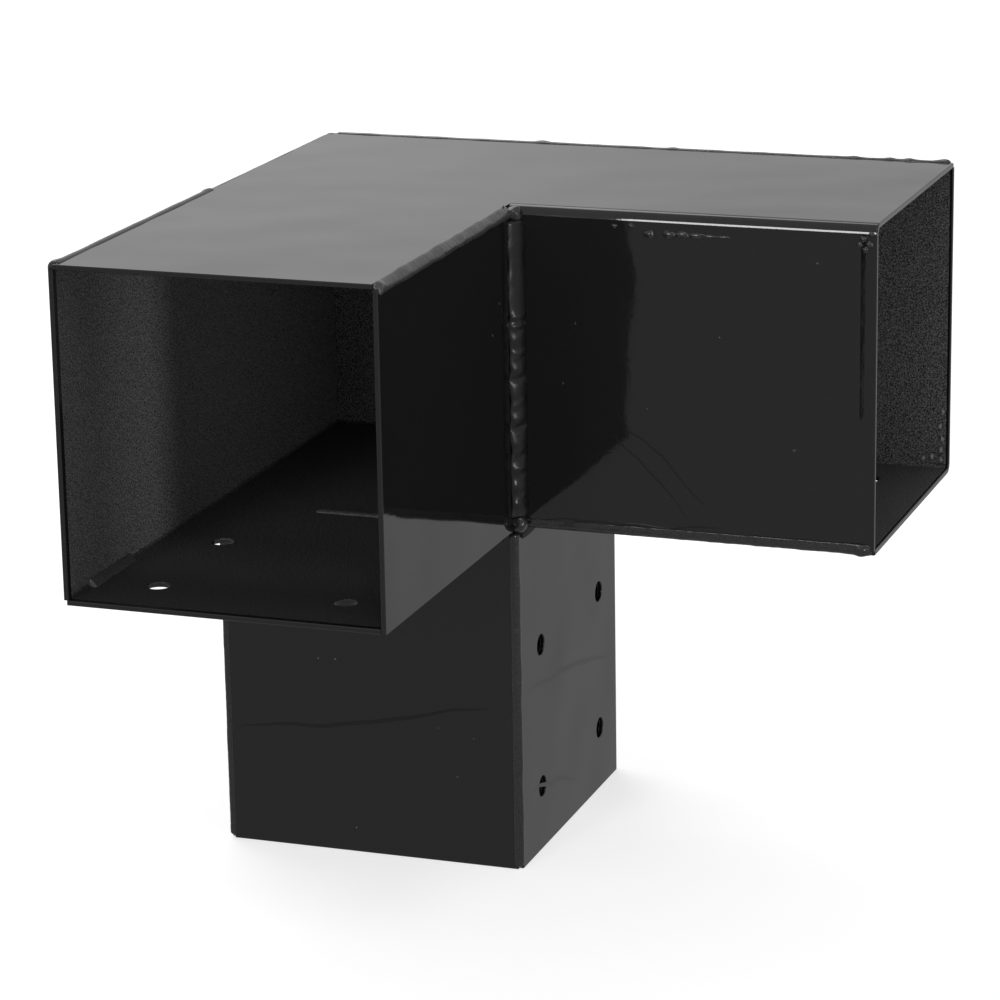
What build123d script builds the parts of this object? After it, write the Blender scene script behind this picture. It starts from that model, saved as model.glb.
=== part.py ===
"""Three way corner connector: folded and welded steel sockets for square timber posts.

Three sockets leave one corner block: the left arm runs towards -Y, the right arm towards +X and
the leg down. The origin is the centre of the leg's open end, +Z is up, sizes are millimetres.
"""
from build123d import *
from math import sin, sqrt
import os

os.makedirs("parts", exist_ok=True)

# ---- driving sizes: timber, sheet and reach of the three sockets
post_width = 89.0            # dressed width of the square post
width_play = 3.0             # post to walls, both sides together
height_play = 4.0            # post to floor and roof of an arm, together
sheet = 1.5                  # steel sheet
bend_inside = 1.5            # inner radius of every fold
wall_step = 1.0              # floor's edge, inside the outer face of the wall that stands on it
left_arm_reach = 107.0       # from the corner block to the open end
right_arm_reach = 107.0
leg_reach = 107.0

# ---- driving sizes: screw holes
hole_diameter = 6.5
hole_from_end = 20.0         # first row, from the open end
hole_row_pitch = 45.0        # along a socket
hole_column_pitch = 56.0     # across a socket

# ---- driving sizes: finish of cut edges
rim_round = 0.35             # cut edges round a socket's mouth
hole_round = 0.3             # lips of the screw holes

# ---- driving sizes: welds
seam_width = 2.9             # of an open corner seam, on each of its two faces
seam_crown = 0.04            # how far its middle stands past the sharp corner
seam_swell = 0.35            # lumps along a seam
dressed_seam_swell = 0.12
dressed_seam_crown = -0.45   # the middle of the block's dressed seam lies inside the sharp corner
lower_seam_crown = -0.2      # the same of the right arm's lower seam
swell_steps = (2.3, 3.9)     # radians of the long and the short wave, from one section to the next
swell_shares = (0.6, 0.4)    # of the long and the short wave
seam_pitch = 8.0             # spacing of the sections that the lumps are set on
seam_end_length = 1.6        # over which a seam narrows to its end
seam_end_share = 0.75        # width left at the very end
seam_end_gap = 0.5           # between the end of a seam and the rim
leg_seam_width = 2.6         # of the leg's near seam on the face of the front plate
leg_seam_side = 1.8          # the same seam on the face of the channel
dressed_seam_width = 1.9     # of a seam that was dressed down
lower_seam_growth = 1.1      # the right arm's lower seam widens towards the open end
fillet_width = 4.6           # of a weld in an inner corner, on each face
fillet_crown = 0.55          # how far its middle stands past the flat between its toes
fillet_swell = 0.3
butt_lap = 1.6               # of a seam between arm and leg, over each plate
butt_crown = 0.5
floor_run_width = 3.0        # low run across the floor of the left arm
floor_run_height = 0.7
floor_run_setback = 4.7      # from the face of the leg
floor_run_start = -14.0      # its end away from the inner wall
inner_knot_radius = 3.1      # weld knots where seams meet at the inner corner
inner_knot_stand = 0.47      # their centre out from the two walls
inner_knot_lift = 0.35       # the lower one: centre above the underside of the arms
inner_knot_sink = 2.4        # the upper one: centre below the roof
outer_knot_radius = 3.17
stitch_width = 2.2           # of a short seam inside the left arm, on floor and wall
stitch_length = 28.0
stitch_setback = 13.0        # from the open end
outer_knot_depth = 2.55      # outer knots: centre inside the sharp corner
seam_clearance = 0.15        # between seams that pass each other at a knot

# ---- sizes that follow
socket_width = post_width + width_play + 2 * sheet
socket_height = post_width + height_play + 2 * sheet
bend_outside = bend_inside + sheet
half = socket_width / 2
inner = half - sheet
floor_bottom = leg_reach
floor_top = floor_bottom + sheet
roof_top = floor_bottom + socket_height
roof_bottom = roof_top - sheet
left_end = -half - left_arm_reach
right_end = half + right_arm_reach
clear_height = roof_bottom - floor_top      # of an arm, from floor to roof
wall_height = socket_height - sheet         # wall that stops short of an open corner seam
plate_width = socket_width - sheet          # plate that stops short of an open corner seam
seam_reach = seam_width + seam_swell + seam_clearance   # seams stop this far from a crossing one

X_WAY, Y_WAY, Z_WAY = Vector(1, 0, 0), Vector(0, 1, 0), Vector(0, 0, 1)


def facing(origin, u, v):
    """Plane through origin with its own x along u and its own y along v."""
    return Plane(origin=origin, x_dir=u, z_dir=u.cross(v))


def bent_section(flat, wall):
    """Section of a folded sheet: outer corner at 0,0, the flat along +x and the wall along -y."""
    with BuildSketch() as section:
        Rectangle(flat, wall, align=(Align.MIN, Align.MAX))
        with Locations((sheet, -sheet)):
            Rectangle(flat, wall, align=(Align.MIN, Align.MAX), mode=Mode.SUBTRACT)
        outer_corner = section.vertices().sort_by_distance((0, 0))[0]
        fillet(outer_corner, bend_outside)
        inner_corner = section.vertices().sort_by_distance((sheet, -sheet))[0]
        fillet(inner_corner, bend_inside)
    return section.sketch


def seam_section(width, other_width=None, crown=seam_crown):
    """Open corner seam: root at the plates' inner corner, toes on both faces, crowned between."""
    side = other_width or width
    with BuildSketch() as section:
        with BuildLine():
            Polyline((0, -side), (0, -sheet), (-sheet, -sheet), (-sheet, 0), (-width, 0))
            ThreePointArc((-width, 0), (crown, crown), (0, -side))
        make_face()
    return section.sketch


def leg_seam_section(width):
    """Open corner seam of the leg, narrower on the channel's face."""
    return seam_section(width, width - leg_seam_width + leg_seam_side)


def dressed_section(width):
    """Open corner seam ground back to a soft chamfer."""
    return seam_section(width, crown=dressed_seam_crown)


def lower_section(width):
    """Open corner seam that lies a little inside the sharp corner."""
    return seam_section(width, crown=lower_seam_crown)


def fillet_section(width):
    """Weld in an inner corner at 0,0: a toe on each face and a crowned front between them."""
    middle = width / 2 + fillet_crown / sqrt(2)
    with BuildSketch() as section:
        with BuildLine():
            Polyline((0, width), (0, 0), (width, 0))
            ThreePointArc((width, 0), (middle, middle), (0, width))
        make_face()
    return section.sketch


def butt_section(lap):
    """Seam between the edges of two plates in one plane, over the set-back edge of a third."""
    with BuildSketch() as section:
        with BuildLine():
            Polyline(
                (0, lap), (0, 0), (-wall_step, 0), (-wall_step, -sheet), (0, -sheet),
                (0, -sheet - lap),
            )
            ThreePointArc((0, -sheet - lap), (butt_crown, -sheet / 2), (0, lap))
        make_face()
    return section.sketch


def bend_butt_section(lap):
    """Seam between the edge of a plate and the round of the fold that stands on it."""
    rise = bend_outside - sqrt(bend_outside**2 - (bend_outside - sheet) ** 2)
    middle = bend_outside * (1 - sqrt(0.5))
    with BuildSketch() as section:
        with BuildLine():
            Polyline((0, -lap), (0, 0), (-sheet, 0), (-sheet, rise))
            ThreePointArc((-sheet, rise), (-middle, middle), (0, bend_outside))
            Line((0, bend_outside), (0, bend_outside + lap))
            ThreePointArc((0, bend_outside + lap), (butt_crown, sheet / 2), (0, -lap))
        make_face()
    return section.sketch


def run_section(width):
    """Low run of weld on a flat face, along its own y = 0."""
    with BuildSketch() as section:
        with BuildLine():
            Line((-width / 2, 0), (width / 2, 0))
            ThreePointArc((width / 2, 0), (0, floor_run_height), (-width / 2, 0))
        make_face()
    return section.sketch


def lumpy(start, length, section, width, swell, phase, growth=0.0):
    """Seam from the plane start, its sections each a little wider or narrower than the last.

    The phase, in radians, makes the lumps of each seam its own.
    """
    (long_step, short_step), (long_share, short_share) = swell_steps, swell_shares
    stations = max(2, round(length / seam_pitch))
    middle = length - 2 * seam_end_length
    stops = [seam_end_length + middle * number / stations for number in range(stations + 1)]
    sections = []
    for number, stop in enumerate([0, *stops, length]):
        wave = long_share * sin(long_step * number + phase)
        wave += short_share * sin(short_step * number + 2 * phase)
        here = width + swell * wave + growth * stop / length
        if stop in (0, length):
            here = width * seam_end_share
        with BuildSketch(start.offset(stop)) as station:
            add(section(here))
        sections.append(station.sketch)
    loft(sections)


def knot(x, y, z, radius, neighbours):
    """Round knot of weld, trimmed by the plates and seams it lies against and by the hollow."""
    with Locations((x, y, z)):
        Sphere(radius)
    for neighbour in (*neighbours, hollow):
        add(neighbour.part, mode=Mode.SUBTRACT)


def outer_knot(z, lowest, neighbours):
    """Knot at the far corner of the block, cut square where the three seams end against it."""
    side = seam_reach + outer_knot_radius
    knot(-half + outer_knot_depth, half - outer_knot_depth, z, outer_knot_radius, neighbours)
    with Locations((-half - outer_knot_radius, half - seam_reach, lowest)):
        Box(side, side, side, align=Align.MIN, mode=Mode.INTERSECT)


def screw_holes(plane):
    """Four screw holes, the plane's own x across the socket and its y towards the block."""
    first_row = hole_from_end + hole_row_pitch / 2
    with Locations(plane):
        with Locations((0, first_row)):
            with GridLocations(hole_column_pitch, hole_row_pitch, 2, 2):
                Hole(hole_diameter / 2, depth=2 * sheet)


def lips(part):
    """Both edges of every screw hole."""
    return part.edges().filter_by(GeomType.CIRCLE).filter_by(
        lambda edge: abs(edge.radius - hole_diameter / 2) < hole_round / 2
    )


def rim(part, way, at):
    """Long edges of the cut face that closes a socket's mouth."""
    mouth = part.faces().filter_by_position(way, at - rim_round, at + rim_round).filter_by(way)
    return mouth.edges().filter_by(lambda edge: edge.length > sheet + rim_round)


# ---- upper sheet: roof and front wall of the right arm
with BuildPart() as upper_sheet:
    with BuildSketch(Plane.XY.offset(roof_bottom)):
        with Locations((-inner, left_end)):
            Rectangle(2 * inner, inner - left_end, align=Align.MIN)
    extrude(amount=sheet)
    with BuildSketch(facing((inner, -half, roof_top), Y_WAY, Z_WAY)):
        add(bent_section(plate_width, wall_height))
    extrude(amount=right_end - inner)
    fillet(rim(upper_sheet, Axis.Y, left_end), rim_round)
    fillet(rim(upper_sheet, Axis.X, right_end), rim_round)

# ---- lower sheet: floor and back wall
with BuildPart() as lower_sheet:
    with BuildSketch(Plane.XY.offset(floor_bottom)):
        with Locations((-half + wall_step, left_end)):
            Rectangle(
                inner + half - wall_step, half - bend_outside - left_end, align=Align.MIN
            )
    extrude(amount=sheet)
    with BuildSketch(facing((-inner, half, floor_bottom), -Y_WAY, -Z_WAY)):
        add(bent_section(socket_width, wall_height))
    extrude(amount=right_end + inner)
    with BuildSketch(Plane.XY.offset(floor_bottom)):
        with Locations((half, -half)):
            Rectangle(right_arm_reach, sheet, align=Align.MIN)
    extrude(amount=sheet, mode=Mode.SUBTRACT)
    screw_holes(facing((0, left_end, floor_top), X_WAY, Y_WAY))
    screw_holes(facing((right_end, 0, floor_top), Y_WAY, -X_WAY))
    fillet(rim(lower_sheet, Axis.Y, left_end), rim_round)
    fillet(rim(lower_sheet, Axis.X, right_end), rim_round)
    fillet(lips(lower_sheet), hole_round)

# ---- outer wall of the left arm and the block: a flat plate that stands on the floor's edge
with BuildPart() as outer_wall:
    with BuildSketch(Plane.XY.offset(floor_top)):
        with Locations((-half, left_end)):
            Rectangle(sheet, inner - left_end, align=Align.MIN)
    extrude(amount=clear_height)
    fillet(rim(outer_wall, Axis.Y, left_end), rim_round)

# ---- inner wall of the left arm: a flat plate that covers the floor's edge
with BuildPart() as inner_wall:
    with BuildSketch(Plane.XY.offset(floor_bottom)):
        with Locations((inner, left_end)):
            Rectangle(sheet, left_arm_reach, align=Align.MIN)
    extrude(amount=wall_height)
    fillet(rim(inner_wall, Axis.Y, left_end), rim_round)

# ---- leg: a channel folded round three sides, closed by a front plate
with BuildPart() as leg_channel:
    with BuildSketch() as channel_section:
        with Locations((0, sheet / 2)):
            Rectangle(socket_width, plate_width)
        Rectangle(2 * inner, 2 * inner, mode=Mode.SUBTRACT)
        outer_corners = channel_section.vertices().group_by(Axis.Y)[-1]
        fillet(outer_corners, bend_outside)
        inner_corners = channel_section.vertices().filter_by_position(
            Axis.Y, inner - rim_round, inner + rim_round
        )
        fillet(inner_corners, bend_inside)
    extrude(amount=leg_reach)
    screw_holes(facing((half, 0, 0), Y_WAY, Z_WAY))
    fillet(rim(leg_channel, Axis.Z, 0), rim_round)
    fillet(lips(leg_channel), hole_round)

with BuildPart() as leg_front_plate:
    with BuildSketch():
        with Locations((0, -half)):
            Rectangle(2 * inner, sheet, align=(Align.CENTER, Align.MIN))
    extrude(amount=leg_reach)
    fillet(rim(leg_front_plate, Axis.Z, 0), rim_round)

# ---- hollow of the three sockets, only used to keep the knots out of it
with BuildPart() as hollow:
    with Locations((-inner, left_end, floor_top)):
        Box(2 * inner, inner - left_end, clear_height, align=Align.MIN)
    with Locations((-inner, -inner, floor_top)):
        Box(right_end + inner, 2 * inner, clear_height, align=Align.MIN)
    with Locations((-inner, -inner, 0)):
        Box(2 * inner, 2 * inner, floor_bottom, align=Align.MIN)

# ---- seams of the arms and the block
with BuildPart() as left_arm_top_weld:
    lumpy(
        facing((half, -half - sheet, roof_top), X_WAY, Z_WAY),
        left_arm_reach - sheet - seam_end_gap,
        seam_section, seam_width, seam_swell, phase=0.4,
    )

with BuildPart() as back_top_weld:
    lumpy(
        facing((-half + seam_reach, half, roof_top), Y_WAY, Z_WAY),
        right_end + half - seam_reach - seam_end_gap,
        seam_section, seam_width, seam_swell, phase=1.9,
    )

with BuildPart() as right_arm_bottom_weld:
    lumpy(
        facing((half + sheet, -half, floor_bottom), -Y_WAY, -Z_WAY),
        right_arm_reach - sheet - seam_end_gap,
        lower_section, seam_width, seam_swell, phase=3.1, growth=lower_seam_growth,
    )

with BuildPart() as left_arm_outer_weld:
    lumpy(
        facing((-half, left_end + seam_end_gap, roof_top), -X_WAY, Z_WAY),
        left_arm_reach - seam_end_gap,
        seam_section, seam_width, seam_swell, phase=4.2,
    )

with BuildPart() as block_top_weld:
    lumpy(
        facing((-half, -half, roof_top), -X_WAY, Z_WAY),
        socket_width - seam_reach,
        dressed_section, dressed_seam_width, dressed_seam_swell, phase=1.1,
    )

with BuildPart() as outer_wall_stitch:
    lumpy(
        facing((-inner, left_end + stitch_setback + stitch_length, floor_top), X_WAY, Z_WAY),
        stitch_length,
        fillet_section, stitch_width, dressed_seam_swell, phase=2.7,
    )

with BuildPart() as inner_wall_stitch:
    lumpy(
        facing((inner, left_end + stitch_setback, floor_top), -X_WAY, Z_WAY),
        stitch_length,
        fillet_section, stitch_width, dressed_seam_swell, phase=4.4,
    )

with BuildPart() as outer_corner_weld:
    lumpy(
        facing((-half, half, roof_top - seam_reach), -X_WAY, Y_WAY),
        socket_height - 2 * seam_reach,
        seam_section, seam_width, seam_swell, phase=5.5,
    )

with BuildPart() as inner_corner_weld:
    lumpy(
        facing((half, -half, roof_top - seam_reach), X_WAY, -Y_WAY),
        socket_height - 2 * seam_reach,
        fillet_section, fillet_width, fillet_swell, phase=0.9,
    )

with BuildPart() as floor_weld:
    lumpy(
        facing((floor_run_start, -half - floor_run_setback, floor_top), Y_WAY, Z_WAY),
        inner - floor_run_start,
        run_section, floor_run_width, seam_swell, phase=2.2,
    )

# ---- seams of the leg
with BuildPart() as leg_near_weld:
    lumpy(
        facing((half, -half, floor_bottom - sheet), X_WAY, -Y_WAY),
        floor_bottom - sheet - seam_end_gap,
        leg_seam_section, leg_seam_width, seam_swell, phase=2.6,
    )

with BuildPart() as leg_left_weld:
    lumpy(
        facing((-half, -half, seam_end_gap), -X_WAY, -Y_WAY),
        floor_bottom - sheet - seam_end_gap,
        seam_section, dressed_seam_width, dressed_seam_swell, phase=0.2,
    )

with BuildPart() as block_left_weld:
    lumpy(
        facing((-half, half - seam_reach, floor_bottom), -X_WAY, -Z_WAY),
        socket_width - seam_reach - seam_end_gap,
        butt_section, butt_lap, dressed_seam_swell, phase=1.3,
    )

with BuildPart() as leg_back_weld:
    lumpy(
        facing((-half + seam_reach, half, floor_bottom), Y_WAY, Z_WAY),
        socket_width - bend_outside - seam_reach,
        bend_butt_section, butt_lap, dressed_seam_swell, phase=0.7,
    )

with BuildPart() as leg_front_fillet:
    lumpy(
        facing((-half + seam_reach, -half, floor_bottom), -Y_WAY, -Z_WAY),
        socket_width - 2 * seam_reach,
        fillet_section, fillet_width, fillet_swell, phase=3.6,
    )

with BuildPart() as leg_right_fillet:
    lumpy(
        facing((half, -half + seam_reach, floor_bottom), X_WAY, -Z_WAY),
        socket_width - bend_outside - seam_reach,
        fillet_section, fillet_width, fillet_swell, phase=5.1,
    )

# ---- knots where the seams meet
with BuildPart() as upper_knot:
    knot(
        half + inner_knot_stand, -half - inner_knot_stand, roof_top - inner_knot_sink,
        inner_knot_radius,
        (upper_sheet, inner_wall, left_arm_top_weld, inner_corner_weld),
    )

with BuildPart() as lower_knot:
    knot(
        half + inner_knot_stand, -half - inner_knot_stand, floor_bottom + inner_knot_lift,
        inner_knot_radius,
        (
            upper_sheet, lower_sheet, inner_wall, leg_channel, leg_front_plate,
            inner_corner_weld, right_arm_bottom_weld, leg_near_weld, leg_front_fillet,
            leg_right_fillet,
        ),
    )

with BuildPart() as outer_upper_knot:
    outer_knot(
        roof_top - outer_knot_depth, roof_top - seam_reach, (upper_sheet, lower_sheet, outer_wall)
    )

with BuildPart() as outer_lower_knot:
    outer_knot(
        floor_bottom + outer_knot_depth / 2, floor_bottom - outer_knot_radius,
        (lower_sheet, outer_wall, leg_channel),
    )

for name, node in {
    "upper_sheet": upper_sheet,
    "lower_sheet": lower_sheet,
    "outer_wall": outer_wall,
    "inner_wall": inner_wall,
    "leg_channel": leg_channel,
    "leg_front_plate": leg_front_plate,
    "left_arm_top_weld": left_arm_top_weld,
    "left_arm_outer_weld": left_arm_outer_weld,
    "block_top_weld": block_top_weld,
    "back_top_weld": back_top_weld,
    "right_arm_bottom_weld": right_arm_bottom_weld,
    "outer_wall_stitch": outer_wall_stitch,
    "inner_wall_stitch": inner_wall_stitch,
    "outer_corner_weld": outer_corner_weld,
    "inner_corner_weld": inner_corner_weld,
    "floor_weld": floor_weld,
    "leg_near_weld": leg_near_weld,
    "leg_left_weld": leg_left_weld,
    "block_left_weld": block_left_weld,
    "leg_back_weld": leg_back_weld,
    "leg_front_fillet": leg_front_fillet,
    "leg_right_fillet": leg_right_fillet,
    "upper_knot": upper_knot,
    "lower_knot": lower_knot,
    "outer_upper_knot": outer_upper_knot,
    "outer_lower_knot": outer_lower_knot,
}.items():
    node.part.label = name
    export_step(node.part, f"parts/{name}.step")
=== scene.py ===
"""Three way corner connector in gloss black powder coat, on a pale studio floor. Metres, +Z up."""

import bmesh
import bpy
import numpy as np
from mathutils import Matrix, Vector


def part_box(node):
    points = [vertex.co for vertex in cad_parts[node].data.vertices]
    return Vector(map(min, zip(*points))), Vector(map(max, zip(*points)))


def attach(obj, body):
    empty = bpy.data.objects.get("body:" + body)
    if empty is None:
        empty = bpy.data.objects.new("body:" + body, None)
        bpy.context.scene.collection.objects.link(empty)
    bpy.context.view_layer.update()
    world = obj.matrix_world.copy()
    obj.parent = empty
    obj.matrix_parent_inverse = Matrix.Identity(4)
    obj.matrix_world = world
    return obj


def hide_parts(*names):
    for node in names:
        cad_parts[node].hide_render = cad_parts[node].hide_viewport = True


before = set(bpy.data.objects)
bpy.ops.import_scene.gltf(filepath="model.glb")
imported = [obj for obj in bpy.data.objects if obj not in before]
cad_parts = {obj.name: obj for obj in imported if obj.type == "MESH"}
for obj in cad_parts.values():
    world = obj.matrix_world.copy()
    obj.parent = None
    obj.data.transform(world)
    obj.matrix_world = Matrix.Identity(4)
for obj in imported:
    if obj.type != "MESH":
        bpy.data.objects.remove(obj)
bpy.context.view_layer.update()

MM = 0.001

# ---------------------------------------------- sizes in millimetres, read from the frame
wall_low, wall_high = (np.array(corner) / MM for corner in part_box("outer_wall"))
_, roof_high = (np.array(corner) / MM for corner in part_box("upper_sheet"))
floor_low, _ = (np.array(corner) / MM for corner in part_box("lower_sheet"))
HALF = -wall_low[0]               # outer half width of a socket
INNER = -wall_high[0]             # clear half width of a socket
SHEET = HALF - INNER
TOP = roof_high[2]                # outside of the roof
UNDER = floor_low[2]              # underside of the arms
DECK = UNDER + SHEET              # inside of the floor
LEFT_END = wall_low[1]            # open end of the left arm
RIGHT_END = roof_high[0]          # open end of the right arm

# ---------------------------------------------- sizes in millimetres of the welds and the coat
FOLD = 3.0                        # outside radius of a fold
STOP = 3.4                        # a seam stops this far from one that crosses it
RIM_GAP = 0.5                     # a seam stops this far from an open end
FLOOR_RUN_START = -14.0           # end of the low run across the floor, away from the inner wall
FLOOR_RUN_SETBACK = 4.7           # of that run, from the face of the leg
STITCH_SETBACK = 13.0             # of the short seams inside the left arm, from its open end
STITCH_LENGTH = 28.0
STITCH = 2.2                      # width of these seams, on floor and wall
FILLET = 4.6                      # width of a weld in an inner corner, on each face
BEAD_STEP = 0.28                  # between the sections of a bead
BEAD_COLUMNS = 23                 # points from toe to toe
BEAD_END = 1.3                    # over which a bead closes round at its end
LUMPS_WAKE = 6.0                  # over which a bead's lumps grow up after its calm stretch
MOUTH = 2.0                       # depth of the glossy band inside the left arm's mouth
THIN_MOUTH = 1.0                  # the same inside the other two
SKIN = 0.3                        # the matte powder inside, with its painted light, reaches this far into the sheet
FAT_START = 4.6                   # the fat line of the coat rises from here off the right end
FAT_STOP = 3.2                    # to here
FAT_EDGE = 0.38                   # its height

X, Y, Z = np.eye(3)


# ---------------------------------------------- forms
def wander(s, seed, size):
    """Smooth value that wanders about 0 along s: three sines, the longest of that size."""
    a, b, c = np.random.default_rng(seed).uniform(0, 2 * np.pi, 3)
    return (0.5 * np.sin(2 * np.pi * s / size + a)
            + 0.33 * np.sin(2 * np.pi * s / (0.57 * size) + b)
            + 0.17 * np.sin(2 * np.pi * s / (0.34 * size) + c))


def piece(name, points, material, node=None):
    """Closed skin over a stack of grids of points in millimetres, shape (count, rows, columns, 3).

    Each grid is joined round its columns. Its first and last rows are poles or hidden rings, which
    are closed by merging what coincides and filling what stays open.
    """
    count, rows, cols = points.shape[:3]
    index = np.arange(count * rows * cols).reshape(count, rows, cols)
    here, after = index[:, :-1, :], index[:, 1:, :]
    quads = np.stack([here, np.roll(here, -1, 2), np.roll(after, -1, 2), after], -1).reshape(-1, 4)
    mesh = bpy.data.meshes.new(name)
    mesh.from_pydata((points.reshape(-1, 3) * MM).tolist(), [], quads.tolist())
    work = bmesh.new()
    work.from_mesh(mesh)
    bmesh.ops.remove_doubles(work, verts=work.verts, dist=1e-7)
    open_edges = [edge for edge in work.edges if edge.is_boundary]
    if open_edges:
        bmesh.ops.holes_fill(work, edges=open_edges, sides=0)
    bmesh.ops.recalc_face_normals(work, faces=work.faces)
    work.to_mesh(mesh)
    work.free()
    mesh.polygons.foreach_set("use_smooth", np.ones(len(mesh.polygons), dtype=bool))
    mesh.materials.append(material)
    obj = bpy.data.objects.new(name, mesh)
    bpy.context.scene.collection.objects.link(obj)
    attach(obj, "root")
    if node:
        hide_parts(node)
    return obj


def bead(node, start, along, u, v, length, toes, root, crown, seed, swell=0.3, swell_size=11.0,
         ripple=0.02, pitch=2.8, growth=0.0, lumpy=0.2, calm=0.0, soft=0.0, bumps=(),
         material=None):
    """Weld bead carried along a straight line.

    The section goes from one toe to the other, crown high over the line between them: half an
    ellipse, or half a sine wave that leaves the plates gently where it is soft.
    The whole section breathes with a wandering swell along the bead, ripples arch across it at the
    pitch, lumps wake up past the calm first stretch, bumps are bell curves (place, half length,
    rise) added to its height, and both ends close round on the root.
    """
    s = np.linspace(0, length, int(length / BEAD_STEP) + 1)[:, None]
    turn = np.linspace(0, np.pi, BEAD_COLUMNS)[None, :]
    a, b, root = (np.array(corner, float) for corner in (*toes, root))
    chord = b - a
    width = np.hypot(*chord)
    middle = (a + b) / 2
    out = np.array([chord[1], -chord[0]]) / width
    if np.dot(out, middle - root) < 0:
        out = -out
    grow = 1 + (swell * wander(s, seed, swell_size) + growth * s / length) / width
    arch = (s + 0.5 * wander(s, seed + 1, 9.0) + 0.55 * pitch * np.sin(turn)) / pitch
    wave = ripple * (2 * np.abs(np.sin(np.pi * arch)) - 1)
    wake = np.clip((s - calm) / LUMPS_WAKE, 0, 1)
    lumps = lumpy * swell * wake * wander(s + 0.9 * np.cos(turn), seed + 2, 0.6 * swell_size)
    height = crown * grow + (wave + lumps) * np.sin(turn)
    for at, size, rise in bumps:
        height = height + rise * np.exp(-(((s - at) / size) ** 2))
    across = (soft * (2 * turn / np.pi - 1) - (1 - soft) * np.cos(turn)) * grow
    section = middle + 0.5 * chord * across[..., None] + out * (height * np.sin(turn))[..., None]
    hidden = np.array([0.5 * b + 0.5 * root, root, 0.5 * a + 0.5 * root])
    section = np.concatenate([section, np.broadcast_to(hidden, (len(s), 3, 2))], 1)
    near = np.clip(np.minimum(s, length - s) / BEAD_END, 0, 1)
    section = root + (section - root) * np.sqrt(1 - (1 - near) ** 2)[..., None]
    points = (np.array(start, float) + s[..., None] * along
              + section[..., :1] * u + section[..., 1:] * v)
    return piece("bead_" + node, points[None], material or weld_coat, node)


def open_toes(width, other=None):
    """Toes of a seam over an open corner, in the frame of the two outer faces."""
    return ((-width, 0.0), (0.0, -(other or width)))


def inner_toes(width, other=None):
    """Toes of a weld in an inner corner, in the frame of its two faces."""
    return ((width, 0.0), (0.0, other or width))


def domes(name, rows, spot, normal, material):
    """Low domes on an upright wall, each an ellipsoid cut by the wall.

    A row holds the dome's two places on the wall, which spot turns into a point, and its half
    width, half height and rise. Its outline wanders with three and five lobes.
    """
    rows = np.array(rows, float)
    places = np.array([spot(*row[:2]) for row in rows])
    wide, high, proud = (rows[:, column, None, None] for column in (2, 3, 4))
    side = np.cross(Z, normal)
    lift = np.linspace(0.5 * np.pi, -0.35 * np.pi, 11)[:, None]
    turn = np.linspace(0, 2 * np.pi, 20, endpoint=False)[None, :]
    n = np.arange(len(rows))[:, None, None]
    rough = 1 + 0.12 * np.sin(3 * turn[None] + 2.4 * n) + 0.08 * np.sin(5 * turn[None] + 1.3 * n)
    points = (places[:, None, None, :]
              + ((np.cos(lift) * np.cos(turn))[None] * rough * wide)[..., None] * side
              + ((np.cos(lift) * np.sin(turn))[None] * rough * high)[..., None] * Z
              + ((np.sin(lift) + 0 * turn)[None] * proud)[..., None] * normal)
    return piece(name, points, material)


def lump(node, centre, radius, seed, keep_low, keep_high):
    """Knot of weld: a sphere whose radius wanders with both angles, held inside a box of space."""
    lift = np.linspace(0.5 * np.pi, -0.5 * np.pi, 25)[:, None]
    turn = np.linspace(0, 2 * np.pi, 36, endpoint=False)[None, :]
    way = np.stack([np.cos(lift) * np.cos(turn), np.cos(lift) * np.sin(turn),
                    np.sin(lift) + 0 * turn], -1)
    a, b, c = np.random.default_rng(seed).uniform(0, 2 * np.pi, 3)
    rough = (1 + 0.06 * np.sin(3.0 * way[..., 0] + 2.0 * way[..., 1] + a)
             + 0.04 * np.sin(4.0 * way[..., 2] - 3.0 * way[..., 0] + b)
             + 0.02 * np.sin(6.0 * way[..., 1] + 5.0 * way[..., 2] + c))
    points = np.clip(np.array(centre) + radius * rough[..., None] * way, keep_low, keep_high)
    return piece("lump_" + node, points[None], weld_coat, node)


def run(name, start, along, fall, normal, length, width, height, drop, seed):
    """Line where the coating ran and set: a low rounded ridge on a wall, thin at both ends.

    Its middle falls by drop * (s / length)**1.5 and wanders about that. Its height over the wall is
    height * cos(turn) * sin(pi * s / length)**0.5, turn going from edge to edge, and its back is
    the same ridge turned into the wall.
    """
    s = np.linspace(0, length, int(length / 0.5) + 1)[:, None]
    turn = np.linspace(-0.5 * np.pi, 0.5 * np.pi, 13)[None, :]
    share = np.clip(np.sin(np.pi * s / length), 0, 1) ** 0.5
    middle = drop * (s / length) ** 1.5 + 0.8 * wander(s, seed, 0.6 * length)
    ridge = height * share * np.cos(turn)
    face = (np.array(start, float) + s[..., None] * along
            + (middle + 0.5 * width * share * np.sin(turn))[..., None] * fall
            + (ridge - 0.01)[..., None] * normal)
    back = face - 2 * ridge[..., None] * normal
    points = np.concatenate([face, back[:, -2:0:-1]], 1)
    return piece(name, points[None], run_coat)


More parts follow.
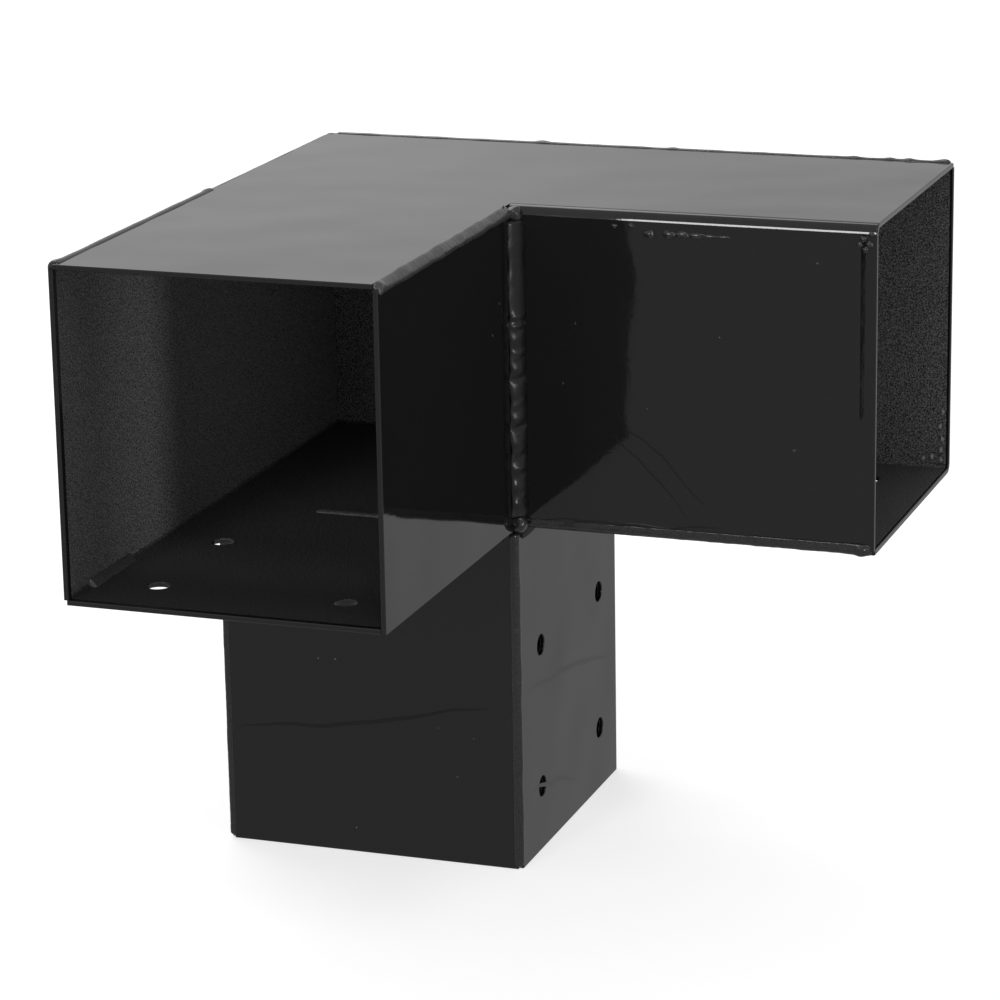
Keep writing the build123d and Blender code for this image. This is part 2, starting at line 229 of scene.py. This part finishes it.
# ---------------------------------------------- node trees
class Tree:
    """Node tree of a material or the world, with short calls for the nodes used most.

    Wherever a call takes a value, it is a number or the output of another node.
    """

    def __init__(self, owner):
        owner.use_nodes = True
        owner.node_tree.nodes.clear()
        self.new, self.link = owner.node_tree.nodes.new, owner.node_tree.links.new

    def put(self, value, socket):
        if hasattr(value, "links"):
            self.link(value, socket)
        else:
            socket.default_value = value

    def math(self, kind, a, b=0.0):
        node = self.new("ShaderNodeMath")
        node.operation = kind
        self.put(a, node.inputs[0])
        self.put(b, node.inputs[1])
        return node.outputs["Value"]

    def vector_math(self, kind, a, b=(0, 0, 0)):
        node = self.new("ShaderNodeVectorMath")
        node.operation = kind
        self.put(a, node.inputs[0])
        self.put(b, node.inputs[1])
        return node.outputs["Value" if kind == "DOT_PRODUCT" else "Vector"]

    def ramp(self, value, a, b, to_a, to_b, smooth=False):
        """to_a where the value is at a or before it, to_b at b or past it, blended between."""
        node = self.new("ShaderNodeMapRange")
        if smooth:
            node.interpolation_type = "SMOOTHSTEP"
        self.link(value, node.inputs["Value"])
        for key, number in (("From Min", a), ("From Max", b), ("To Min", to_a), ("To Max", to_b)):
            node.inputs[key].default_value = number
        return node.outputs["Result"]

    def mix(self, factor, a, b, kind="RGBA", blend="MIX"):
        node = self.new("ShaderNodeMix")
        node.data_type = kind
        node.blend_type = blend
        for slot, value in (("Factor", factor), ("A", a), ("B", b)):
            self.put(value, node.inputs[slot])
        return node.outputs["Result"]

    def parts(self, vector):
        """The vector's x, y and z."""
        node = self.new("ShaderNodeSeparateXYZ")
        self.link(vector, node.inputs["Vector"])
        return node.outputs["X"], node.outputs["Y"], node.outputs["Z"]

    def coordinates(self, kind):
        return self.new("ShaderNodeTexCoord").outputs[kind]

    def noise(self, coord, size, detail, rough=0.5):
        """Even noise with patches of about that size in millimetres."""
        node = self.new("ShaderNodeTexNoise")
        node.inputs["Scale"].default_value = 1.0 / (size * MM)
        node.inputs["Detail"].default_value = detail
        node.inputs["Roughness"].default_value = rough
        self.link(coord, node.inputs["Vector"])
        return node.outputs["Fac"]

    def bump(self, height, distance, below=None):
        """Bump of that distance in millimetres, laid over the one below."""
        node = self.new("ShaderNodeBump")
        node.inputs["Strength"].default_value = 1.0
        node.inputs["Distance"].default_value = distance * MM
        self.link(height, node.inputs["Height"])
        if below:
            self.link(below, node.inputs["Normal"])
        return node.outputs["Normal"]

    def light(self, kind, strength):
        """White light of an Emission or a Background node."""
        node = self.new(kind)
        node.inputs["Color"].default_value = level(1)
        self.put(strength, node.inputs["Strength"])
        return node.outputs[0]

    def either(self, factor, off, on):
        """The shader off where the factor is 0, and on where it is 1."""
        node = self.new("ShaderNodeMixShader")
        for slot, value in enumerate((factor, off, on)):
            self.link(value, node.inputs[slot])
        return node.outputs["Shader"]

    def inside_box(self, coord, low, high):
        """1 where the point lies between two corners, from the largest of its scaled offsets."""
        centre = (np.array(low) + np.array(high)) / 2 * MM
        half = (np.array(high) - np.array(low)) / 2 * MM
        scaled = self.vector_math("DIVIDE", self.vector_math("SUBTRACT", coord, centre), half)
        x, y, z = self.parts(self.vector_math("ABSOLUTE", scaled))
        most = self.math("MAXIMUM", self.math("MAXIMUM", x, y), z)
        return self.math("LESS_THAN", most, 1.0)


def level(value):
    """Neutral colour of that value."""
    return (value, value, value, 1)


# ---------------------------------------------- coats
POWDER_INDEX = 1.5                # refractive index of the powder coat
LOW_INDEX = 1.41                  # of the darker coat in the inner corner and on the runs
DUST = 0.12                       # grey of a dust speck
DUST_CELL = 5.5                   # spacing of the specks, in millimetres
INSIDE_PAINTED_LIGHT = 0.25                # grey painted inside the sockets to stand in for their light, before its painted shade
INSIDE_ROUGH = 0.55
INSIDE_SHINE = 0.25               # specular level inside
OUTSIDE_SHINE = 0.5               # and outside
GRAIN = 0.48                      # size of the grains in that painted grey, in millimetres

# painted shade of the grey inside: places in millimetres, and the share of that painted light which
# is left there
ARM_OUT, ARM_OUT_SHADE = 132.0, 0.25            # an arm, from this far along it outwards
ARM_IN, ARM_IN_SHADE = 70.0, 0.84               # and from here inwards
BLOCK_NEAR = 40.0                               # the corner block, darker from this side
BLOCK_FAR, BLOCK_FAR_SHADE = -40.0, 0.5         # to that
LEFT_FLOOR, LEFT_FLOOR_SHADE = 50.0, 0.4        # the floor, up to this far along x
RIGHT_FLOOR, RIGHT_FLOOR_SHADE = 100.0, 0.9     # and from here on
FLOOR_TOP, FLOOR_CLEAR = 0.6, 1.2               # heights between which the floor's shade ends


def matte_powder_and_painted_light(tree, bsdf, coord, body, rough):
    """Grainy, matte powder inside the sockets; its grey is painted light, with painted shade along
    the arms, across the block and on the floor.
    """
    roof = TOP - SHEET
    in_left_arm = tree.inside_box(coord, (-INNER - SKIN, LEFT_END + MOUTH, DECK - SKIN),
                                  (INNER + SKIN, INNER + SKIN, roof + SKIN))
    in_right_arm = tree.inside_box(coord, (-INNER - SKIN, -INNER - SKIN, DECK - SKIN),
                                   (RIGHT_END - THIN_MOUTH, INNER + SKIN, roof + SKIN))
    in_leg = tree.inside_box(coord, (-INNER - SKIN, -INNER - SKIN, THIN_MOUTH),
                             (INNER + SKIN, INNER + SKIN, UNDER + SKIN))
    within = tree.math("MAXIMUM", in_left_arm, tree.math("MAXIMUM", in_right_arm, in_leg))

    x, y, z = tree.parts(coord)
    to_mouth = tree.math("MAXIMUM", x, tree.math("MULTIPLY", y, -1.0))
    shade = tree.math("MULTIPLY",
                      tree.ramp(to_mouth, ARM_OUT * MM, ARM_IN * MM, ARM_OUT_SHADE, ARM_IN_SHADE),
                      tree.ramp(to_mouth, BLOCK_NEAR * MM, BLOCK_FAR * MM, 1.0, BLOCK_FAR_SHADE))
    on_floor = tree.ramp(x, LEFT_FLOOR * MM, RIGHT_FLOOR * MM, LEFT_FLOOR_SHADE, RIGHT_FLOOR_SHADE)
    above_floor = tree.ramp(z, (DECK + FLOOR_TOP) * MM, (DECK + FLOOR_CLEAR) * MM, 0.0, 1.0)
    shade = tree.math("MULTIPLY", shade, tree.math("MAXIMUM", on_floor, above_floor))

    grain = tree.ramp(tree.noise(coord, GRAIN, 2, 0.9), 0.38, 0.62, -0.2, 2.2)
    # painted light: the grainy grey inside, times its painted shade
    painted_light_grey = tree.mix(tree.math("MULTIPLY", grain, shade), level(0.0), level(INSIDE_PAINTED_LIGHT))
    shine = tree.ramp(within, 0.0, 1.0, OUTSIDE_SHINE, INSIDE_SHINE)
    tree.link(shine, bsdf.inputs["Specular IOR Level"])
    return tree.mix(within, body, painted_light_grey), tree.mix(within, rough, INSIDE_ROUGH, "FLOAT")


def fat_line(tree, coord, below):
    """Step in the coat on the front wall, where it has drawn back from the right arm's cut end."""
    x, y, z = tree.parts(coord)
    rise = tree.ramp(x, (RIGHT_END - FAT_START) * MM, (RIGHT_END - FAT_STOP) * MM, 0.0, 1.0)
    front_wall = tree.math("MULTIPLY", tree.math("LESS_THAN", z, (TOP - FOLD) * MM),
                           tree.math("LESS_THAN", y, (0.5 - HALF) * MM))
    return tree.bump(tree.math("MULTIPLY", rise, front_wall), FAT_EDGE, below)


def coat(name, base, roughness, peel, peel_size, wave, dust_share, inside=False,
         index=POWDER_INDEX):
    """Gloss powder coat: near-black body, orange peel and slow waves as bump, pale dust specks.

    Peel and wave are heights in millimetres. With inside set, the coat is the sheets' own, with
    matte powder inside the sockets whose grey is painted light, and a fat line at the right arm's
    end.
    """
    mat = bpy.data.materials.new(name)
    tree = Tree(mat)
    out = tree.new("ShaderNodeOutputMaterial")
    bsdf = tree.new("ShaderNodeBsdfPrincipled")
    bsdf.inputs["IOR"].default_value = index
    tree.link(bsdf.outputs["BSDF"], out.inputs["Surface"])
    coord = tree.coordinates("Object")

    # dust specks: the small middle of each cell, in the few cells that have one
    cells = tree.new("ShaderNodeTexVoronoi")
    cells.inputs["Scale"].default_value = 1.0 / (DUST_CELL * MM)
    tree.link(coord, cells.inputs["Vector"])
    split = tree.new("ShaderNodeSeparateColor")
    tree.link(cells.outputs["Color"], split.inputs["Color"])
    dot = tree.ramp(cells.outputs["Distance"], 0.030, 0.055, 1.0, 0.0)
    chosen = tree.math("GREATER_THAN", split.outputs["Red"], 1.0 - dust_share)
    body = tree.mix(tree.math("MULTIPLY", dot, chosen), level(base), level(DUST))

    mottle = tree.ramp(tree.noise(coord, 0.5, 2, 0.8), 0.3, 0.7, 0.4, 1.6)
    rough = tree.ramp(tree.noise(coord, 9, 4, 0.6), 0.3, 0.7, roughness * 0.7, roughness * 1.4)
    if inside:
        # inside the sockets: matte powder whose grey is painted light and shade
        body, rough = matte_powder_and_painted_light(tree, bsdf, coord, body, rough)
    tree.link(tree.mix(1.0, body, mottle, blend="MULTIPLY"), bsdf.inputs["Base Color"])
    tree.link(rough, bsdf.inputs["Roughness"])

    relief = tree.bump(tree.noise(coord, 45, 1), wave)
    if inside:
        relief = fat_line(tree, coord, relief)
    relief = tree.bump(tree.noise(coord, peel_size, 2), peel, relief)
    tree.link(relief, bsdf.inputs["Normal"])
    return mat


# name, grey, roughness, height and size of the peel, height of the waves, share of cells with dust
sheet_coat = coat("sheet_coat", 0.006, 0.05, 0.008, 1.6, 0.60, 0.10, inside=True)
weld_coat = coat("weld_coat", 0.018, 0.19, 0.02, 1.4, 0.05, 0.2)
dressed_coat = coat("dressed_coat", 0.04, 0.28, 0.02, 1.4, 0.05, 0.2)
corner_coat = coat("corner_coat", 0.006, 0.26, 0.02, 1.4, 0.05, 0.2, index=LOW_INDEX)
# grey raised as painted light, like the grey inside the sockets
matte_painted_light_coat = coat("matte_painted_light_coat", 0.13, 0.45, 0.03, 0.9, 0.05, 0.2)
run_coat = coat("run_coat", 0.005, 0.10, 0.01, 1.4, 0.05, 0.0, index=LOW_INDEX)

for node_name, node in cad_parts.items():
    sheet = node_name.endswith(("sheet", "wall", "channel", "plate"))
    node.data.materials.clear()
    node.data.materials.append(sheet_coat if sheet else weld_coat)

# ---------------------------------------------- weld beads
CORNER_ROOT = (-1.55, -1.55)      # where the plates of an open corner meet inside
INNER_ROOT = (-0.4, -0.4)         # a little inside the plates of an inner corner
ARM_SEAM = -HALF - LEFT_END - RIM_GAP          # from the block to near the left arm's end
LEG_SEAM = UNDER - SHEET - RIM_GAP             # down the leg
bead("left_arm_top_weld", (HALF, -HALF - SHEET, TOP), -Y, X, Z, ARM_SEAM - SHEET,
     ((-1.9, 0.0), (0.25, -3.1)), CORNER_ROOT, 0.95, 11, swell=0.35, swell_size=26.0, lumpy=0.3,
     bumps=((28.0, 4.0, 0.15), (102.5, 1.8, 0.55)), material=dressed_coat)
bead("left_arm_outer_weld", (-HALF, LEFT_END + RIM_GAP, TOP), Y, -X, Z, ARM_SEAM,
     open_toes(2.9), CORNER_ROOT, 1.8, 12, swell=0.12, swell_size=40.0,
     bumps=((103.5, 2.2, 0.3), (2.0, 3.0, 0.45)))
bead("block_top_weld", (-HALF, -HALF, TOP), Y, -X, Z, 2 * HALF - STOP,
     open_toes(1.9), CORNER_ROOT, 0.72, 13, swell=0.1, swell_size=40.0, soft=1.0)
bead("back_top_weld", (-HALF + STOP, HALF, TOP), X, Y, Z, RIGHT_END + HALF - STOP - RIM_GAP,
     open_toes(2.4), CORNER_ROOT, 1.45, 14, swell=0.15, swell_size=22.0,
     bumps=((68.6, 2.2, 0.7), (111, 1.5, 0.35), (168, 2.0, 0.4), (179, 1.8, 0.5), (185, 1.6, 0.5),
            (195.6, 2.4, 0.9)))
bead("right_arm_bottom_weld", (HALF + SHEET, -HALF, UNDER), X, -Y, -Z,
     RIGHT_END - HALF - SHEET - RIM_GAP, open_toes(3.0, 3.2), CORNER_ROOT, 1.35, 15,
     swell=0.3, swell_size=13.0, growth=0.9, soft=1.0, bumps=((101.5, 1.8, 0.7),))
bead("outer_corner_weld", (-HALF, HALF, TOP - STOP), -Z, -X, Y, TOP - UNDER - 2 * STOP,
     open_toes(2.9), CORNER_ROOT, 1.9, 16)
bead("inner_corner_weld", (HALF, -HALF, TOP - STOP), -Z, X, -Y, TOP - UNDER - 2 * STOP,
     inner_toes(3.6, FILLET), INNER_ROOT, 0.6, 17, swell=0.6, swell_size=14.0,
     ripple=0.0, lumpy=0.3, calm=26.0, soft=0.4,
     bumps=((28.5, 1.2, 0.5), (31.2, 0.8, 0.35), (35.5, 2.2, 0.4), (39.0, 0.9, 0.3),
            (44.0, 1.6, 0.5), (47.0, 0.8, -0.3), (52.5, 3.0, 0.4), (58.6, 1.1, 0.35),
            (61.4, 0.8, -0.35), (67.0, 2.4, 0.35), (73.4, 1.0, 0.3), (79.0, 1.8, 0.4),
            (84.5, 0.9, 0.3)),
     material=corner_coat)
# its coat's grey is painted light, like the grey inside the sockets
bead("floor_weld", (FLOOR_RUN_START, -HALF - FLOOR_RUN_SETBACK, DECK), X, Y, Z,
     INNER - FLOOR_RUN_START, ((-1.5, 0.0), (1.5, 0.0)), (0.0, -0.5), 0.6, 18, ripple=0.1,
     material=matte_painted_light_coat)
bead("leg_near_weld", (HALF, -HALF, UNDER - SHEET), -Z, X, -Y, LEG_SEAM,
     open_toes(2.6, 1.8), CORNER_ROOT, 1.45, 19, swell=0.3, swell_size=24.0)
bead("leg_left_weld", (-HALF, -HALF, RIM_GAP), Z, -X, -Y, LEG_SEAM,
     open_toes(1.9), CORNER_ROOT, 1.35, 20, swell=0.12, swell_size=30.0)
bead("block_left_weld", (-HALF, HALF - STOP, UNDER), -Y, -X, -Z, 2 * HALF - STOP - RIM_GAP,
     ((0.0, 1.6), (0.0, -3.1)), (-0.9, -0.75), 0.5, 21)
bead("leg_back_weld", (-HALF + STOP, HALF, UNDER), X, Y, Z, 2 * HALF - FOLD - STOP,
     ((0.0, -1.6), (0.0, FILLET)), (-1.4, 0.7), 0.5, 22)
bead("leg_front_fillet", (-HALF + STOP, -HALF, UNDER), X, -Y, -Z, 2 * HALF - 2 * STOP,
     inner_toes(FILLET), INNER_ROOT, 0.5, 23, swell=0.4)
bead("leg_right_fillet", (HALF, -HALF + STOP, UNDER), Y, X, -Z, 2 * HALF - FOLD - STOP,
     inner_toes(FILLET), INNER_ROOT, 0.5, 24, swell=0.4)
bead("outer_wall_stitch", (-INNER, LEFT_END + STITCH_SETBACK + STITCH_LENGTH, DECK), -Y, X, Z,
     STITCH_LENGTH, inner_toes(STITCH), INNER_ROOT, 0.3, 25, material=dressed_coat)
bead("inner_wall_stitch", (INNER, LEFT_END + STITCH_SETBACK, DECK), Y, -X, Z,
     STITCH_LENGTH, inner_toes(STITCH), INNER_ROOT, 0.3, 26, material=dressed_coat)

# ---------------------------------------------- weld knots: centre, radius, seed, box corners
lump("upper_knot", (HALF + 0.4, -HALF - 0.4, TOP - 2.5), 2.5, 31,
     (HALF - 1.2, -HALF - 9, TOP - 9), (HALF + 9, -HALF + 1.2, TOP + 0.5))
lump("lower_knot", (HALF + 0.9, -HALF - 0.9, UNDER + 1.8), 2.8, 32,
     (HALF - 1.2, -HALF - 9, UNDER - 9), (HALF + 9, -HALF + 1.2, TOP))
lump("outer_upper_knot", (-HALF + 2.5, HALF - 2.5, TOP - 2.5), 2.6, 33,
     (-HALF - 0.3, HALF - 4.2, TOP - 4.2), (-HALF + 4.2, HALF + 0.3, TOP + 0.1))

# ---------------------------------------------- spatter: two places, half width, half height, rise
domes("spatter_right_arm", [
    (78.0, 91.6, 0.9, 0.7, 0.5), (83.0, 91.9, 1.1, 0.8, 0.5), (88.4, 89.8, 1.7, 1.3, 0.9),
    (94.2, 90.0, 2.0, 1.2, 0.8), (98.0, 90.2, 2.3, 1.0, 0.7), (102.0, 90.1, 2.5, 0.9, 0.6),
    (106.0, 90.1, 2.7, 0.5, 0.4), (110.0, 90.1, 2.4, 0.35, 0.3), (150.6, 91.8, 1.1, 1.0, 0.8),
    (152.4, 90.4, 1.2, 1.1, 0.9), (151.2, 88.8, 1.0, 1.0, 0.7), (152.9, 93.2, 0.8, 0.8, 0.6),
    (149.6, 90.2, 0.9, 0.9, 0.6), (151.9, 1.8, 1.1, 1.0, 0.6), (49.9, 90.0, 0.35, 2.0, 0.5),
    (66.0, 62.5, 0.4, 0.4, 0.25), (62.0, 44.5, 0.4, 0.4, 0.25), (109.0, 61.0, 0.45, 0.45, 0.25),
    (131.0, 29.5, 0.8, 0.55, 0.25),
], lambda x, up: (x, -HALF, UNDER + up), -Y, weld_coat)
# their coat's grey is painted light, like the grey inside the sockets
domes("spatter_back_wall", [
    (x, up, 0.7, 0.9, 0.6)
    for x, up in ((151.8, 5.5), (152.2, 9.0), (151.5, 13.0), (152.3, 17.5), (149.0, 3.2),
                  (146.4, 2.6), (151.9, 2.4))
], lambda x, up: (x, INNER, DECK + up), -Y, matte_painted_light_coat)
domes("spatter_left_arm", [
    (ahead, up, 0.45, 0.45, 0.3) for ahead, up in ((60.0, 70.0), (66.0, 62.0), (55.5, 97.0))
], lambda ahead, up: (HALF, -ahead, UNDER + up), X, weld_coat)

# ---------------------------------------------- lines where the coating ran
run("leg_front_run", (-45.0, -HALF, 37.0), X, Z, -Y, 84.0, 1.5, 0.05, 14.0, 41)
run("leg_right_run", (HALF, -43.0, 54.0), Y, -Z, X, 86.0, 2.0, 0.03, 14.0, 42)
run("leg_right_low_run", (HALF, -38.0, 21.5), Y, -Z, X, 44.0, 1.6, 0.03, 11.0, 43)
run("right_arm_run", (78.0, -HALF, UNDER + 33.0), X, -Z, -Y, 30.0, 1.0, 0.02, 27.0, 44)
run("right_arm_second_run", (72.0, -HALF, UNDER + 31.5), X, -Z, -Y, 31.0, 1.0, 0.02, 30.0, 45)
run("right_arm_toe_run", (51.0, -HALF, UNDER + 3.4), X, Z, -Y, 62.0, 0.8, 0.03, 1.0, 47)

# ---------------------------------------------- floor, in metres
FLOOR_GREY = 0.62
FLOOR_HALF = 6.0
FLOOR_DEPTH = 5e-5                # the floor lies this far under the leg
LEFT_GLOW, RIGHT_GLOW = 0.41, 0.55              # of the floor as the gloss sees it
FAR_GLOW = 0.45                   # share of that far off in front
LEG_GLOW = 0.05                   # share of it under the leg


def floor_material():
    """Pale floor. The camera sees it white with the shadow kept, save in the dark under the leg;
    the gloss sees it evenly lit, brighter to the right and dimmer far off in front."""
    mat = bpy.data.materials.new("pale_floor")
    tree = Tree(mat)
    out = tree.new("ShaderNodeOutputMaterial")
    seen = tree.new("ShaderNodeLightPath")
    x, y, _ = tree.parts(tree.coordinates("Object"))
    plain = tree.new("ShaderNodeBsdfDiffuse")
    plain.inputs["Color"].default_value = level(FLOOR_GREY)
    under_leg = tree.math("MULTIPLY",
                          tree.math("LESS_THAN", tree.math("ABSOLUTE", x), INNER * MM),
                          tree.math("LESS_THAN", tree.math("ABSOLUTE", y), INNER * MM))
    lift = tree.math("MULTIPLY", tree.math("SUBTRACT", 1.0, under_leg), FLOOR_GREY)
    white = tree.new("ShaderNodeAddShader")
    tree.link(plain.outputs["BSDF"], white.inputs[0])
    tree.link(tree.light("ShaderNodeEmission", lift), white.inputs[1])
    side = tree.ramp(x, 0.10, 0.50, LEFT_GLOW, RIGHT_GLOW, smooth=True)
    far = tree.ramp(y, -2.0, -0.9, FAR_GLOW, 1.0, smooth=True)
    open_floor = tree.math("SUBTRACT", 1.0, tree.math("MULTIPLY", under_leg, 1.0 - LEG_GLOW))
    even = tree.math("MULTIPLY", tree.math("MULTIPLY", side, far), open_floor)
    by_camera = tree.either(seen.outputs["Is Camera Ray"], plain.outputs["BSDF"],
                            white.outputs["Shader"])
    by_gloss = tree.either(seen.outputs["Is Glossy Ray"], by_camera,
                           tree.light("ShaderNodeEmission", even))
    tree.link(by_gloss, out.inputs["Surface"])
    return mat


floor_corners = [(a * FLOOR_HALF, b * FLOOR_HALF, -FLOOR_DEPTH)
                 for a, b in ((-1, -1), (1, -1), (1, 1), (-1, 1))]
floor_mesh = bpy.data.meshes.new("floor")
floor_mesh.from_pydata(floor_corners, [], [(0, 1, 2, 3)])
floor_mesh.materials.append(floor_material())
floor = bpy.data.objects.new("floor", floor_mesh)
bpy.context.scene.collection.objects.link(floor)

# ---------------------------------------------- world: white to the camera, soft grey as light
SKY_LIGHT = 0.55
BACKDROP = 0.64                   # what the gloss sees
PATCH = 0.76                      # the soft bright patch in it, behind on the left
PATCH_WAY = Vector((-0.45, 0.95, 0.26)).normalized()
PATCH_EDGE = 0.985                # cosine of the angle at which the patch ends

world = bpy.data.worlds.new("studio")
bpy.context.scene.world = world
sky = Tree(world)
sky_out = sky.new("ShaderNodeOutputWorld")
ray = sky.new("ShaderNodeLightPath")
toward = sky.vector_math("DOT_PRODUCT", sky.coordinates("Generated"), PATCH_WAY)
backdrop = sky.ramp(toward, PATCH_EDGE, 1.0, BACKDROP, PATCH, smooth=True)
to_others = sky.either(ray.outputs["Is Glossy Ray"],
                       sky.light("ShaderNodeBackground", SKY_LIGHT),
                       sky.light("ShaderNodeBackground", backdrop))
whole = sky.either(ray.outputs["Is Camera Ray"], to_others,
                   sky.light("ShaderNodeBackground", 1.0))
sky.link(whole, sky_out.inputs["Surface"])


# ---------------------------------------------- lamps and camera, in metres and watts
def lamp(name, place, aim, width, height, power):
    """Soft rectangular lamp at place, facing aim."""
    data = bpy.data.lights.new(name, "AREA")
    data.shape = "RECTANGLE"
    data.size, data.size_y = width, height
    data.energy = power
    obj = bpy.data.objects.new(name, data)
    obj.location = place
    obj.rotation_euler = (Vector(aim) - Vector(place)).to_track_quat("-Z", "Y").to_euler()
    bpy.context.scene.collection.objects.link(obj)
    return obj


lamp("key_lamp", (-0.9, 0.9, 1.7), (0, 0, 0.1), 1.2, 1.2, 12)
lamp("front_lamp", (-0.275, -1.55, 0.44), (0.1, 0, 0.2), 0.25, 0.42, 5)
lamp("side_lamp", (0.97, -0.83, 0.24), (0, -0.1, 0.16), 0.16, 0.3, 3.0)
lamp("top_lamp", (0.30, -0.80, 1.35), (0.05, 0, 0.15), 0.30, 0.30, 2.0)

CAMERA_PLACE = (0.40657, -1.06737, 0.42230)
CAMERA_RIGHT = Vector((0.943137, 0.332004, -0.016293)).normalized()
CAMERA_DOWN = Vector((0.075860, -0.262705, -0.961889)).normalized()

camera_data = bpy.data.cameras.new("camera")
camera_data.lens = 138.64
camera_data.sensor_width = 36.0
camera_data.clip_start = 0.05
camera = bpy.data.objects.new("camera", camera_data)
turned = Matrix((CAMERA_RIGHT, -CAMERA_DOWN, -CAMERA_RIGHT.cross(CAMERA_DOWN))).transposed()
camera.matrix_world = Matrix.Translation(CAMERA_PLACE) @ turned.to_4x4()
bpy.context.scene.collection.objects.link(camera)
bpy.context.scene.camera = camera

bpy.context.scene.view_settings.view_transform = "Standard"
